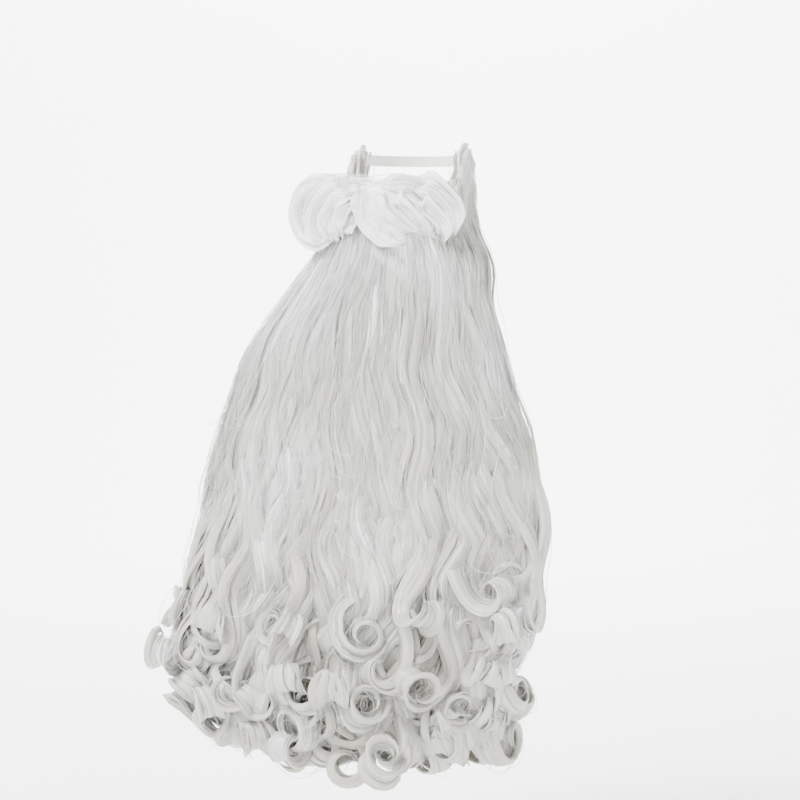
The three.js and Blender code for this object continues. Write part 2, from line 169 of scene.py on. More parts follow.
# Locks of the fall: the share of its length below which a row holds ringlets, how deep the root of
# a ringlet lies, how far the lower end of a lock stands out, and the stations along a lock and
# round its curl
RINGLET_LENGTH = 0.5
ROOT_SINK = 16 * MM
END_RISE = 9 * MM
PATH_STATIONS = 44
CURL_STATIONS = 34

# Tresses of the moustache that roll round the wing on the wearer's right, in millimetres: root_z on
# the parting, radius of the roll, where its arc ends in degrees, how far the tress stands out as
# a share of the wing's depth, and its half width
ROLL_TRESSES = table(
    "root_z radius end out half",
    (41, 36, 318, 0.62, 12),
    (38, 33, 340, 0.9, 13),
    (33, 28, 352, 0.8, 13),
    (20, 33, 340, 0.4, 15),
    (22, 20, 350, 0.7, 15),
    (2, 26, 350, 0.6, 14),
)

# The wing's roll: its centre seen from the front, where its tresses leave the parting, its outer
# radius, and how far its middle stands out
ROLL_CENTRE = np.array([-85, 5]) * MM
ROLL_ROOT = -13 * MM
ROLL_RADIUS = 44 * MM
ROLL_DOME = 15 * MM

# The other tresses of the moustache, seen from the front in millimetres: x from the middle, z up
# from the chin, at the root, the shoulder, the bend and the tip; out and half as above
SWEPT_TRESSES = table(
    "x z out half",
    ((-16, -62, -94, -74), (37, 35, 0, -30), 1.1, 14),
    ((-15, -50, -78, -64), (31, 28, -4, -32), 1.2, 15),
    ((-14, -38, -60, -54), (25, 20, -8, -30), 1.2, 14),
    ((-13, -28, -42, -44), (16, 11, -10, -26), 1.1, 13),
    ((-4, -24, -42, -56), (34, 24, 8, -14), 0.75, 15),
    ((-104, -98, -82, -64), (2, -16, -24, -18), 1.1, 11),
    ((0, -5, 16, 56), (42, 17, -14, -28), 1.12, 16),
    ((12, 20, 44, 70), (43, 16, -10, -42), 1.06, 17),
    ((34, 50, 71, 68), (37, 12, -14, -46), 0.94, 15),
    ((24, 60, 84, 80), (39, 38, 8, -34), 0.8, 14),
    ((10, 28, 52, 66), (42, 6, -20, -38), 0.6, 19),
    ((-14, 16, 46, 76), (43, 44, 40, 20), 0.5, 9),
)

# Streaks in the hair, broad to fine: how many lie across and along a metre of lock, the detail of
# their noise, and the height of their relief in millimetres
STREAKS = table(
    "across along detail relief",
    (130, 4, 2.0, 4),
    (330, 5, 1.5, 2.4),
    (720, 8, 2.0, 0.9),
)

# Stage: how far the floor lies below the hair, and the camera's aim right of the chin and above it
FLOOR_DROP = 150 * MM
CAMERA_AIM = (18.7 * MM, -226.4 * MM)

# Lights: place and aim in metres, width of the lamp in metres, power in watts
STUDIO_AIM = (0, -0.05, -0.3)
LIGHTS = table(
    "name place aim size power",
    ("key_light", (-1.2, -1.9, 2.6), STUDIO_AIM, 1.0, 470),
    ("fill_light", (2.2, -1.8, 0.5), STUDIO_AIM, 2.0, 50),
    ("backdrop_light", (-0.9, 2.6, 2.4), (-1.4, 3.8, -0.4), 2.4, 560),
)


def length_setting(name, description, default):
    return bpy.props.FloatProperty(name=name, description=description, default=default, unit="LENGTH")


def colour_setting(name, description, default):
    return bpy.props.FloatVectorProperty(
        name=name, description=description, default=default, subtype="COLOR", size=3, min=0, max=1
    )


class FallSizes(bpy.types.PropertyGroup):
    """Sizes of the hanging hair."""

    length: length_setting("Length", "Drop from the chin to the lowest curl", 703 * MM)
    half_width: length_setting("Half Width", "Half the width where the hair is widest", 240 * MM)
    front: length_setting("Front", "How far the hair stands in front of the chin", 106 * MM)
    thickness: length_setting("Thickness", "Thickness of the hair at the middle", 70 * MM)
    edge_thickness: length_setting("Edge Thickness", "Thickness of the hair at its sides", 50 * MM)
    swing: length_setting("Swing", "How far the lower hair swings to one side", 46 * MM)
    cheek_hair: length_setting("Cheek Hair", "Depth of the hair on the cheek", 20 * MM)
    chin_hair: length_setting("Chin Hair", "Depth of the hair in front of the chin", 30 * MM)
    wave_length: length_setting("Wave Length", "Length of one wave of a lock", 134 * MM)
    wave_reach: length_setting("Wave Reach", "Sideways reach of the waves low in the fall", 13 * MM)
    curl_radius: length_setting("Curl Radius", "Radius of the curls at the ends", 22 * MM)


class HairLook(bpy.types.PropertyGroup):
    """Colours of the hair, and the colour of the shade painted into it."""

    light: colour_setting("Light Strands", "Colour of the strands that catch the light", (0.9, 0.9, 0.885))
    dark: colour_setting("Grey Strands", "Colour of the strands between them", (0.28, 0.28, 0.268))
    # Inner hair colour: painted shade, which the hair is mixed towards in its depths, at the edges of its
    # locks and part way down the fall.
    painted_shade_colour: colour_setting("Painted Shade", "Colour of the hair deep inside", (0.36, 0.35, 0.3))
    moustache: colour_setting(
        "Moustache", "Colour of the moustache, whiter than the beard", (0.94, 0.94, 0.935)
    )


class ClothLook(bpy.types.PropertyGroup):
    """Colours of the backing and the elastic."""

    backing: colour_setting("Backing", "Colour of the backing cloth", (0.72, 0.69, 0.63))
    elastic: colour_setting("Elastic", "Colour of the elastic band", (0.8, 0.79, 0.76))
    thread: colour_setting("Thread", "Colour of the sewing thread", (0.85, 0.84, 0.8))


class StageLook(bpy.types.PropertyGroup):
    """Camera, floor and lights."""

    azimuth: bpy.props.FloatProperty(
        name="Azimuth", description="Camera's turn round the beard", default=math.radians(22), subtype="ANGLE"
    )
    elevation: bpy.props.FloatProperty(
        name="Elevation", description="Camera's height above the horizon",
        default=math.radians(4.5), subtype="ANGLE",
    )
    distance: length_setting("Distance", "Camera's distance from its aim", 2.6)
    lens: bpy.props.FloatProperty(name="Lens", description="Focal length in millimetres", default=94.0)
    floor: colour_setting("Floor", "Colour of the floor", (0.95, 0.95, 0.95))


# Vectors, held as arrays whose last axis is x, y, z


def unit(vectors):
    return vectors / np.maximum(np.linalg.norm(vectors, axis=-1, keepdims=True), 1e-12)


def dot(a, b):
    return (a * b).sum(-1, keepdims=True)


def square_to(vectors, along):
    """The unit vectors nearest to these that stand square to `along`."""
    return unit(vectors - along * dot(vectors, along))


def joined(*parts):
    """Arrays put together along a new last axis."""
    return np.stack(np.broadcast_arrays(*parts), -1)


def mix(low, high, share):
    return low + (high - low) * share


def smooth(x, low, high):
    t = np.clip((x - low) / (high - low), 0, 1)
    return t * t * (3 - 2 * t)


def table_curve(keys, rows):
    """A smooth curve through a table, as a function of an array of keys."""
    keys, rows = np.array(keys, float), np.array(rows, float)
    slopes = np.empty_like(rows)
    slopes[1:-1] = (rows[2:] - rows[:-2]) / (keys[2:] - keys[:-2])[:, None]
    slopes[0] = (rows[1] - rows[0]) / (keys[1] - keys[0])
    slopes[-1] = (rows[-1] - rows[-2]) / (keys[-1] - keys[-2])

    def at(key):
        key = np.clip(key, keys[0], keys[-1])
        i = np.clip(np.searchsorted(keys, key, "right") - 1, 0, len(keys) - 2)
        span = (keys[i + 1] - keys[i])[..., None]
        t = (key - keys[i])[..., None] / span
        start = rows[i] * (2 * t**3 - 3 * t**2 + 1) + slopes[i] * span * (t**3 - 2 * t**2 + t)
        return start + rows[i + 1] * (3 * t**2 - 2 * t**3) + slopes[i + 1] * span * (t**3 - t**2)

    return at


def edge_curve(rows):
    at = table_curve([row.across for row in rows], [[row.height * SIDEBURN_TOP] for row in rows])
    return lambda across: at(np.abs(across))[..., 0]


cheek_line = edge_curve(CHEEK_LINE)
hairline = edge_curve(HAIRLINE)


def jaw_line(across):
    """Lower edge of the backing, under the chin and up to the ear."""
    return mix(-CHIN_DROP, SIDEBURN_FOOT, smooth(np.abs(across), 0.1, 1))


def arch_point(half, front, side, centre, across):
    """Points on half ellipses that are open to the back, with their directions."""
    angle = across * math.pi / 2
    depth = side - front
    tangent = unit(joined(half * np.cos(angle), depth * np.sin(angle), 0))
    point = joined(centre + half * np.sin(angle), front + depth * (1 - np.cos(angle)), 0)
    outward = joined(tangent[..., 1], -tangent[..., 0], 0)
    return point, tangent, outward


def jaw_point(across, height, offset):
    """Points on the jaw's surface, moved outwards. Below the chin it turns in to cup it."""
    cup = CHIN_CUP_INSET * np.clip(-height / CHIN_DROP, 0, 1.2) ** 2
    point, _, outward = arch_point(JAW_HALF_WIDTH - cup + offset, cup - offset, JAW_DEPTH, 0.0, across)
    point[..., 2] = height
    return point, outward


def hair_sections(sizes):
    """The sections of the whole body of hair, as a function of the drop below the chin."""
    keys, rows = [], []
    seat = JAW_HALF_WIDTH + SEAT
    for row in JAW_SECTIONS:
        keys.append(-row.height * SIDEBURN_TOP)
        outer_half = seat + row.fullness * sizes.cheek_hair
        outer_front = -SEAT - row.fullness * sizes.chin_hair
        rows.append([outer_half, outer_front, seat, -SEAT, JAW_DEPTH, 0])
    for row in FALL_SECTIONS:
        keys.append(row.drop * sizes.length)
        half = row.width * sizes.half_width
        front = -row.front * sizes.front
        inner_half = half - row.edge * sizes.edge_thickness
        inner_front = front + row.middle * sizes.thickness
        side = front + row.wrap * half
        rows.append([half, front, inner_half, inner_front, side, -row.swing * sizes.swing])
    return table_curve(keys, rows)


def hair_point(sections, across, drop, inner=False):
    """Points on the outer or the inner side of the hair, with tangent and outward directions."""
    row = sections(drop)
    half, front = (row[..., 2], row[..., 3]) if inner else (row[..., 0], row[..., 1])
    point, tangent, outward = arch_point(half, front, row[..., 4], row[..., 5], across)
    point[..., 2] = -drop
    return point, tangent, outward


# Paths of locks: a dict of arrays, one row per lock and one column per station


def with_directions(points, widthways):
    """A set of paths with their directions: along the lock, widthways, and through it."""
    along = unit(np.gradient(points, axis=1))
    wide = square_to(widthways, along)
    for _ in range(8):
        wide[:, 1:-1] = wide[:, :-2] + 2 * wide[:, 1:-1] + wide[:, 2:]
        wide = square_to(wide, along)
    return {"points": points, "along": along, "wide": wide, "through": np.cross(along, wide)}


def turned(vectors, axis, angle):
    """Vectors square to the axis, turned about it."""
    return vectors * np.cos(angle) + np.cross(axis, vectors) * np.sin(angle)


def curled(path, axis, radius, turns, tighten, pitch, steps):
    """The paths with a curl added to their ends, twisted so that the lock lies flat round it."""
    position, along = path["points"][:, -1], path["along"][:, -1]
    around = square_to(axis, along)
    turn = (TURN * turns / steps)[:, None]
    points = []
    for i in range(steps):
        share = (i + 0.5) / steps
        opening = 1 + 1.1 * np.exp(-6 * share * turns)
        reach = (radius * mix(1, tighten, share) * opening)[:, None] * turn
        along = turned(along, around, turn / 2)
        position = position + along * reach + around * (pitch[:, None] * turn / TURN)
        along = turned(along, around, turn / 2)
        points.append(position)
    ends = path["wide"][:, -1]
    flat = around * np.where(dot(around, ends) < 0, -1.0, 1.0)
    count = path["points"].shape[1]
    share = smooth(np.linspace(0, 1, count), 0.6, 1)[None, :, None]
    wide = np.concatenate([mix(path["wide"], flat[:, None], share), np.repeat(flat[:, None], steps, 1)], 1)
    return with_directions(np.concatenate([path["points"], np.stack(points, 1)], 1), wide)


def resampled(values, places):
    """Values at fractional stations, for each lock."""
    low = np.clip(np.floor(places).astype(int), 0, values.shape[1] - 2)
    share = (places - low)[..., None]
    rows = np.arange(len(values))[:, None]
    return mix(values[rows, low], values[rows, low + 1], share)


def strands_of(path, count, half, thick, weave, draw, stations, shortest, lift, back=0, gather=0.75):
    """Several strands along each path: side by side, crowned, and weaving a little."""
    n, steps = path["points"].shape[:2]
    owner = np.repeat(np.arange(n), count)
    total = n * count
    side = np.tile((np.arange(count) + 0.5) / count * 2 - 1, n) + draw.uniform(-0.3, 0.3, total) / count
    ends = draw.uniform(shortest, 1, total)
    share = np.linspace(0, 1, stations)[None, :]
    places = np.clip(share * ends[:, None], 0, 1) * (steps - 1)
    points, wide, through = (resampled(path[key][owner], places) for key in ("points", "wide", "through"))
    swell = mix(gather, 1, smooth(share, 0, 0.35)) * mix(1, 0.6, smooth(share, 0.8, 1))
    phase = draw.uniform(0, TURN, (2, total, 1))
    rate = draw.uniform(2, 4.5, (total, 1))
    sway = weave * np.sin(TURN * rate * share + phase[0])
    height = np.sqrt(np.clip(1 - side**2, 0, 1))[:, None] * 0.8 - 0.4
    face = np.where(draw.random((total, 1)) < back, -1.0, 1.0)
    height = face * (height + draw.uniform(*lift, (total, 1)))
    height = height + weave * np.sin(TURN * rate * share + phase[1])
    offset_wide = (side[:, None] + sway) * swell * half[owner][:, None]
    offset_through = height * swell * thick[owner][:, None]
    tilt = -0.9 * side[:, None, None]
    return {
        "points": points + wide * offset_wide[..., None] + through * offset_through[..., None],
        "wide": wide * np.cos(tilt) + through * np.sin(tilt),
        "owner": owner,
        "side": np.abs(side)[:, None],
    }


def smooth_mesh(name, vertices, faces):
    mesh = bpy.data.meshes.new(name)
    mesh.from_pydata(vertices.reshape(-1, 3).tolist(), [], faces)
    mesh.shade_smooth()
    return mesh


def tube_faces(count, steps, sides):
    """Faces of closed tubes, each given by its rings of points."""
    first = (np.arange(count)[:, None, None] * steps + np.arange(steps - 1)[:, None]) * sides
    j = np.arange(sides)
    k = (j + 1) % sides
    quads = joined(first + j, first + k, first + k + sides, first + j + sides)
    near = np.arange(count)[:, None] * steps * sides + j[::-1]
    far = near[:, ::-1] + (steps - 1) * sides
    return [*quads.reshape(-1, 4).tolist(), *near.tolist(), *far.tolist()]


def run_along(points, axis):
    """How far along a line of points each one lies."""
    steps = np.linalg.norm(np.diff(points, axis=axis), axis=-1)
    return np.cumsum(np.insert(steps, 0, 0, axis), axis)


def tube_mesh(name, paths, half, thick, sides, tone_and_painted_shade, draw):
    """One mesh of closed, flattened tubes along paths, with the coordinates the material needs."""
    points = paths["points"]
    n, steps = points.shape[:2]
    along = unit(np.gradient(points, axis=1))
    wide = square_to(paths["wide"], along)
    through = np.cross(along, wide)
    angle = (np.arange(sides) + 0.5) * TURN / sides
    ridge = 1 + draw.uniform(-0.22, 0.22, (n, 1, sides))
    lateral = half[..., None] * np.cos(angle)
    rise = thick[..., None] * np.sin(angle) * ridge
    rings = points[:, :, None] + wide[:, :, None] * lateral[..., None] + through[:, :, None] * rise[..., None]
    run = run_along(points, 1)[..., None]
    strand = joined(lateral, run, draw.random((n, 1, 1)))
    mesh = smooth_mesh(name, rings, tube_faces(n, steps, sides))
    add_layer(mesh, "strand", strand)
    add_layer(mesh, "across", np.broadcast_to(wide[:, :, None], rings.shape))
    # Painted shade: the tone falls towards each lock's two edges, so they come out greyer.
    add_layer(mesh, "tone_and_painted_shade", tone_and_painted_shade[..., None] * (1 - 0.55 * np.cos(angle) ** 4) + 0 * lateral)
    return mesh


def fibre_mesh(name, path, count, half, thick, draw, stations):
    """Single hairs that lie over the tresses and stray from them a little."""
    hairs = strands_of(path, count, half * 1.12, thick, 0.2, draw, stations, 0.8, (0.3, 1.1), 0.4)
    total = len(hairs["points"])
    share = np.linspace(0, 1, stations)[None, :]
    radius = draw.uniform(0.25, 0.5, (total, 1)) * MM * mix(1, 0.3, smooth(share, 0.8, 1))
    tone_and_painted_shade = np.broadcast_to(draw.uniform(0.85, 1, (total, 1)), radius.shape)
    return tube_mesh(name, hairs, radius, radius, 3, tone_and_painted_shade, draw)


def add_layer(mesh, name, values):
    """Stores one number or one vector at each point of a mesh."""
    kind, key = ("FLOAT", "value") if name == "tone_and_painted_shade" else ("FLOAT_VECTOR", "vector")
    layer = mesh.attributes.new(name, kind, "POINT")
    layer.data.foreach_set(key, np.ascontiguousarray(values, np.float32).ravel())


def add_piece(mesh, material, node):
    """Puts a mesh in the scene as a piece that rides on the one body."""
    piece = bpy.data.objects.new(mesh.name, mesh)
    bpy.context.scene.collection.objects.link(piece)
    piece.data.materials.append(material)
    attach(piece, "root")
    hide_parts(node)
    return piece


# Materials


class Nodes:
    """A short way to build a material's nodes."""

    def __init__(self, name):
        self.material = bpy.data.materials.new(name)
        self.material.use_nodes = True
        self.tree = self.material.node_tree
        self.shader = self.tree.nodes["Principled BSDF"]

    def add(self, kind, inputs, **settings):
        node = self.tree.nodes.new(kind)
        for key, value in settings.items():
            setattr(node, key, value)
        for key, value in inputs.items():
            self.feed(node.inputs[key], value)
        return node

    def feed(self, socket, value):
        if isinstance(value, bpy.types.NodeSocket):
            self.tree.links.new(value, socket)
        else:
            socket.default_value = value

    def shade(self, inputs):
        """Feeds the shader's own sockets."""
        for key, value in inputs.items():
            self.feed(self.shader.inputs[key], value)

    def attribute(self, name, output="Vector"):
        return self.add("ShaderNodeAttribute", {}, attribute_name=name).outputs[output]

    def noise(self, place, scale, detail, roughness=0.5):
        inputs = {"Vector": place, "Scale": scale, "Detail": detail, "Roughness": roughness}
        return self.add("ShaderNodeTexNoise", inputs).outputs["Fac"]

    def mixed(self, share, low, high):
        inputs = {"Factor": share, "A": low, "B": high}
        return self.add("ShaderNodeMix", inputs, data_type="RGBA").outputs["Result"]

    def ranged(self, value, low, high, new_low, new_high):
        inputs = {"Value": value, "From Min": low, "From Max": high, "To Min": new_low, "To Max": new_high}
        return self.add("ShaderNodeMapRange", inputs).outputs["Result"]


def rgba(colour):
    return (*colour, 1.0)


def hair_material(name, light, dark, painted_shade_colour):
    """Satin synthetic hair: fine streaks along each lock, mixed towards the painted shade colour where the
    tone is low; that tone carries painted shade in the depths, at the edges of locks and part way down the
    fall, and random tone.
    """
    nodes = Nodes(name)
    strand, tone_and_painted_shade = nodes.attribute("strand"), nodes.attribute("tone_and_painted_shade", "Fac")

    def streaks(kind):
        inputs = {0: strand, 1: (kind.across, kind.along, 97.0)}
        scaled = nodes.add("ShaderNodeVectorMath", inputs, operation="MULTIPLY").outputs["Vector"]
        return nodes.noise(scaled, 1.0, kind.detail, 0.6)

    broad, middle, fine = (streaks(kind) for kind in STREAKS)
    body = nodes.mixed(nodes.ranged(broad, 0.38, 0.62, 0, 1), rgba(dark), rgba(light))
    body = nodes.mixed(nodes.ranged(middle, 0.38, 0.58, 0.75, 0), body, rgba(dark))
    body = nodes.mixed(nodes.ranged(fine, 0.38, 0.6, 0.6, 0), body, rgba(dark))
    patches = nodes.noise(nodes.add("ShaderNodeTexCoord", {}).outputs["Object"], 5.0, 1.0)
    cool = tuple(channel * tint for channel, tint in zip(light, (0.86, 0.86, 0.95)))
    body = nodes.mixed(nodes.ranged(patches, 0.42, 0.62, 0, 0.55), body, rgba(cool))
    spaces = {"vector_type": "VECTOR", "convert_from": "OBJECT", "convert_to": "WORLD"}
    tangent = nodes.add("ShaderNodeVectorTransform", {"Vector": nodes.attribute("across")}, **spaces)
    normal = None
    for streak, kind in zip((broad, middle, fine), STREAKS):
        inputs = {"Strength": 0.8, "Distance": kind.relief * MM, "Height": streak}
        if normal:
            inputs["Normal"] = normal
        normal = nodes.add("ShaderNodeBump", inputs).outputs["Normal"]
    nodes.shade({
        # Painted shade: the base colour goes towards the shade colour as the tone falls.
        "Base Color": nodes.mixed(tone_and_painted_shade, rgba(painted_shade_colour), body),
        "Roughness": nodes.ranged(fine, 0.3, 0.7, 0.34, 0.5),
        "Specular IOR Level": 0.55,
        "Anisotropic": 0.8,
        "Tangent": tangent.outputs["Vector"],
        "Subsurface Weight": 0.06,
        "Subsurface Radius": (1.0, 1.0, 1.0),
        "Subsurface Scale": 6 * MM,
        "Normal": normal,
    })
    return nodes.material


def cloth_material(name, colour, threads, relief, unevenness):
    """Cloth with crossing threads: threads holds the spacing across and along it."""
    nodes = Nodes(name)
    place = nodes.attribute("strand")
    waves = []
    for direction, spacing in zip(("X", "Y"), threads):
        inputs = {"Vector": place, "Scale": 0.314 / spacing, "Distortion": unevenness, "Detail": 1.0}
        waves.append(nodes.add("ShaderNodeTexWave", inputs, bands_direction=direction).outputs["Fac"])
    weave = nodes.add("ShaderNodeMath", dict(enumerate(waves)), operation="MULTIPLY").outputs["Value"]
    mottle = nodes.noise(place, 90.0, 4.0)
    slub = nodes.noise(place, 700.0, 2.0)
    darker = rgba(channel * 0.8 for channel in colour)
    body = nodes.mixed(nodes.ranged(mottle, 0.35, 0.65, 0, 0.6), rgba(colour), darker)
    body = nodes.mixed(nodes.ranged(slub, 0.4, 0.65, 0, 0.4), body, darker)
    inputs = {"Strength": 0.7, "Distance": relief, "Height": weave}
    nodes.shade({
        "Base Color": nodes.mixed(nodes.ranged(weave, 0, 0.5, 0.45, 0), body, darker),
        "Roughness": nodes.ranged(slub, 0.3, 0.7, 0.78, 0.92),
        "Sheen Weight": 0.2,
        "Normal": nodes.add("ShaderNodeBump", inputs).outputs["Normal"],
    })
    return nodes.material


def material_once(name, make, *looks):
    return bpy.data.materials.get(name) or make(name, *looks)


def add_fall_hair(mesh):
    look = bpy.context.scene.beard_hair
    material = material_once("Beard Hair", hair_material, look.light, look.dark, look.painted_shade_colour)
    add_piece(mesh, material, "beard_fall")


# Grid surfaces: the core of the hair and the cloth backing


def shell_mesh(name, outer, inner, strand, tone_and_painted_shade):
    """A closed shell between two equal grids of points."""
    rows, columns = outer.shape[:2]
    shift = rows * columns
    index = np.arange(shift).reshape(rows, columns)
    a, b, c, d = index[:-1, :-1], index[1:, :-1], index[1:, 1:], index[:-1, 1:]
    front = joined(a, b, c, d).reshape(-1, 4)
    back = joined(a, d, c, b).reshape(-1, 4) + shift
    loop = np.concatenate([index[0, ::-1], index[1:, 0], index[-1, 1:], index[-2:0:-1, -1]])
    after = np.roll(loop, -1)
    rim = joined(after, loop, loop + shift, after + shift)
    mesh = smooth_mesh(name, np.stack([outer, inner]), np.concatenate([front, back, rim]).tolist())
    add_layer(mesh, "strand", np.concatenate([strand, strand]))
    add_layer(mesh, "across", np.tile([1.0, 0.0, 0.0], (2 * shift, 1)))
    add_layer(mesh, "tone_and_painted_shade", np.full(2 * shift, tone_and_painted_shade))
    return mesh


class CoreOperator(bpy.types.Operator):
    """Builds the dense inner hair that closes the fall behind its locks"""

    bl_idname = "beard.core"
    bl_label = "Painted Shade"

    def execute(self, context):
        sizes = context.scene.beard_fall
        sections = hair_sections(sizes)
        across = np.linspace(-0.98, 0.98, 71)[None, :]
        share = np.linspace(0, 1, 64)[:, None]
        ragged = 0.012 * np.sin(17 * across) + 0.01 * np.sin(41 * across + 1)
        bottom = sizes.length * (0.93 - 0.12 * across**4 + ragged)
        top = -hairline(across) + 4 * MM
        drop = mix(top, bottom, share**1.15)
        across = np.broadcast_to(across, drop.shape)
        waves = np.sin(38 * across + 5 * np.sin(TURN * drop / sizes.wave_length + 3 * across))
        inset = mix(4 * MM, 11 * MM, smooth(share, 0, 0.3)) + 2.2 * MM * waves
        outer, _, outward = hair_point(sections, across, drop)
        outer = outer - outward * inset[..., None]
        inner, _, outward = hair_point(sections, across, drop, inner=True)
        lining = mix(1.5 * MM, 6 * MM, smooth(share, 0.1, 0.4))
        inner = inner + outward * (lining + 1.2 * MM * waves)[..., None]
        strand = joined(across * 0.25, drop, 0.5).reshape(-1, 3)
        # Painted shade: the inner hair gets a low tone, so it shows greyer between the locks.
        mesh = shell_mesh("fall_core", outer, inner, strand, 0.6)
        add_fall_hair(mesh)
        return {"FINISHED"}


def eased(values, low, high, room):
    """Values that come near a limit, eased so that they stay within it."""
    over = np.maximum(values - high + room, 0) - np.maximum(low + room - values, 0)
    return values - over + room * np.tanh(over / room)


def kept_within(points, sizes, sections):
    """Eases points back that would stand out of the sides of the hair, or out of its box."""
    low, high = (np.array(corner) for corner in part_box("beard_fall"))
    row = sections(-points[..., 2])
    narrowing = smooth(-points[..., 2], 0.86 * sizes.length, sizes.length)
    reach = row[..., 0] + mix(-9, -18, narrowing) * MM
    x = eased(points[..., 0], row[..., 5] - reach, row[..., 5] + reach, 16 * MM)
    y = eased(points[..., 1], low[1], high[1], 8 * MM)
    z = eased(points[..., 2], low[2], high[2], 9 * MM)
    return joined(x, y, z)


def fall_paths(row, sizes, sections, draw):
    """Paths of one row of tresses down the fall, with a curl at each end."""
    n = row.count
    across = row.limit * np.linspace(-1, 1, n) + draw.uniform(-0.4, 0.4, n) / n
    edge = np.abs(across)
    tip = row.tip - row.rise * edge**3 - row.spread * draw.random(n)
    end = tip * sizes.length
    start = np.maximum(end - row.length * sizes.length, 6 * MM - hairline(across))
    share = np.linspace(0, 1, PATH_STATIONS)[None, :]
    drop = mix(start[:, None], end[:, None], share)
    drift = draw.uniform(-0.05, 0.05, (n, 1)) * smooth(share, 0.2, 1)
    if row.depth == -1:
        point, tangent, outward = hair_point(sections, across[:, None] + drift, drop, inner=True)
        point = point + outward * (row.thick * MM + draw.uniform(-1, 2, (n, 1, 1)) * MM)
        tangent, outward = -0.6 * tangent, -0.6 * outward
    else:
        depth = row.depth * sizes.edge_thickness * mix(0.4, 1, smooth(share, 0, 0.4))
        sunk = 0 if row.length > RINGLET_LENGTH else ROOT_SINK * (1 - smooth(share, 0, 0.35))
        raised = END_RISE * smooth(share, 0.7, 1)
        inset = row.thick * MM + depth + sunk - raised + draw.uniform(-1, 3, (n, 1)) * MM
        point, tangent, outward = hair_point(sections, across[:, None] + drift, drop)
        point = point - outward * inset[..., None]
    waviness = smooth(drop, 0.05 * sizes.length, 0.95 * sizes.length)
    length = sizes.wave_length * draw.uniform(0.8, 1.1, (n, 1))
    phase = 2.4 * np.sin(4 * across)[:, None] + draw.uniform(-1.3, 1.3, (n, 1))
    angle = TURN * drop / length + phase
    side = smooth(edge, 0.7, 1)[:, None]
    reach = mix(0.3, 1.25, waviness) * sizes.wave_reach * draw.uniform(0.75, 1.2, (n, 1)) * mix(1, 0.5, side)
    point = point + tangent * (reach * np.sin(angle))[..., None]
    turning = np.where(draw.random((n, 1)) < 0.5, -0.45, 0.45)
    point = point + outward * (turning * reach * np.cos(angle))[..., None]
    twist = mix(0.1, 0.5, waviness) * np.sign(turning)
    wide = tangent * (1 + twist * np.cos(angle))[..., None] - outward * (twist * np.sin(angle))[..., None]
    path = with_directions(point, wide)
    lean = draw.uniform(0.2, 1.5, n)[:, None]
    sense = np.where(across < 0, 1.0, -1.0) * np.where(draw.random(n) < 0.35 * (1 - side[:, 0]), -1.0, 1.0)
    under = np.where(draw.random(n) < 0.25 * (1 - side[:, 0]), -1.0, 1.0)
    axis = outward[:, -1] * np.cos(lean) * sense[:, None] + tangent[:, -1] * np.sin(lean) * under[:, None]
    radius = sizes.curl_radius * draw.uniform(0.85, 1.25, n)
    turns = row.turns * draw.uniform(0.8, 1.2, n)
    pitch = sense * draw.uniform(4, 22, n) * MM
    path = curled(path, axis, radius, turns, 0.5, pitch, CURL_STATIONS)
    path = with_directions(kept_within(path["points"], sizes, sections), path["wide"])
    path["edge"] = edge
    return path


def tress_mesh(row, path, half, thick, draw):
    """The flat locks of one row of tresses, narrow at the root and at the tip."""
    long = row.length > RINGLET_LENGTH
    stations = 58 if long else 40
    sides = 8 if row.name == "outer_tresses" else 6
    weave, lift, slim = (0.12, (-0.4, 0.4), 1) if long else (0.06, (-0.2, 0.2), 1.1)
    strands = strands_of(path, row.strands, half, thick, weave, draw, stations, 0.78, lift)
    owner = strands["owner"]
    total = len(owner)
    share = np.linspace(0, 1, stations)[None, :]
    root = mix(0.65 if long else 0.15, 0.15, smooth(path["edge"][owner], 0.6, 0.85))[:, None]
    taper = mix(root, 1, smooth(share, 0, 0.3)) * mix(1, 0.07, smooth(share, 0.8, 1))
    width = half[owner][:, None] * draw.uniform(0.3, 0.52, (total, 1)) * taper * slim
    depth = width * draw.uniform(0.22, 0.36, (total, 1))
    # Painted shade: deeper rows and the strands at a tress's sides get a lower tone; the random terms are
    # tone that differs from lock to lock.
    shade = 1.08 - 0.5 * max(row.depth, 0) - 0.5 * strands["side"] ** 3
    shade = shade - 0.4 * draw.random((len(half), 1))[owner] - 0.2 * draw.random((total, 1))
    # Painted shade: long locks darker from about a fifth to two thirds of the way down, standing in for less
    # light there; ringlets evenly a little darker.
    painted_mid_fall_shade = smooth(share, 0.12, 0.45) * (1 - 0.7 * smooth(share, 0.66, 0.9)) if long else 0.1 + 0 * share
    return tube_mesh(row.name, strands, width, depth, sides, shade * (1 - 0.42 * painted_mid_fall_shade), draw)


class LockOperator(bpy.types.Operator):
    """Builds the rows of wavy tresses and ringlets of the fall"""

    bl_idname = "beard.locks"
    bl_label = "Locks and Ringlets"

    def execute(self, context):
        sizes = context.scene.beard_fall
        sections = hair_sections(sizes)
        for number, row in enumerate(LOCK_ROWS):
            draw = np.random.default_rng(100 + number)
            path = fall_paths(row, sizes, sections, draw)
            n = len(path["points"])
            half = row.half * MM * draw.uniform(0.8, 1.2, n)
            thick = row.thick * MM * draw.uniform(0.8, 1.2, n)
            if row.strands:
                add_fall_hair(tress_mesh(row, path, half, thick, draw))
            add_fall_hair(fibre_mesh(row.name + "_hairs", path, row.hairs, half, thick, draw, 40))
        return {"FINISHED"}


def wing_depth(x, share):
    """How far forward a tress of the moustache lies: from the lip (0) to the wing's front (1)."""
    lip = JAW_DEPTH * (1 - np.sqrt(np.clip(1 - (x / JAW_HALF_WIDTH) ** 2, 0, 1))) - SEAT - 3 * MM
    reach = np.where(x < 0, 118, 88) * MM
    front = mix(-34 * MM, 17 * MM, np.clip(np.abs(x) / reach, 0, 1.1) ** 2)
    return mix(np.minimum(lip, 20 * MM), front, share)


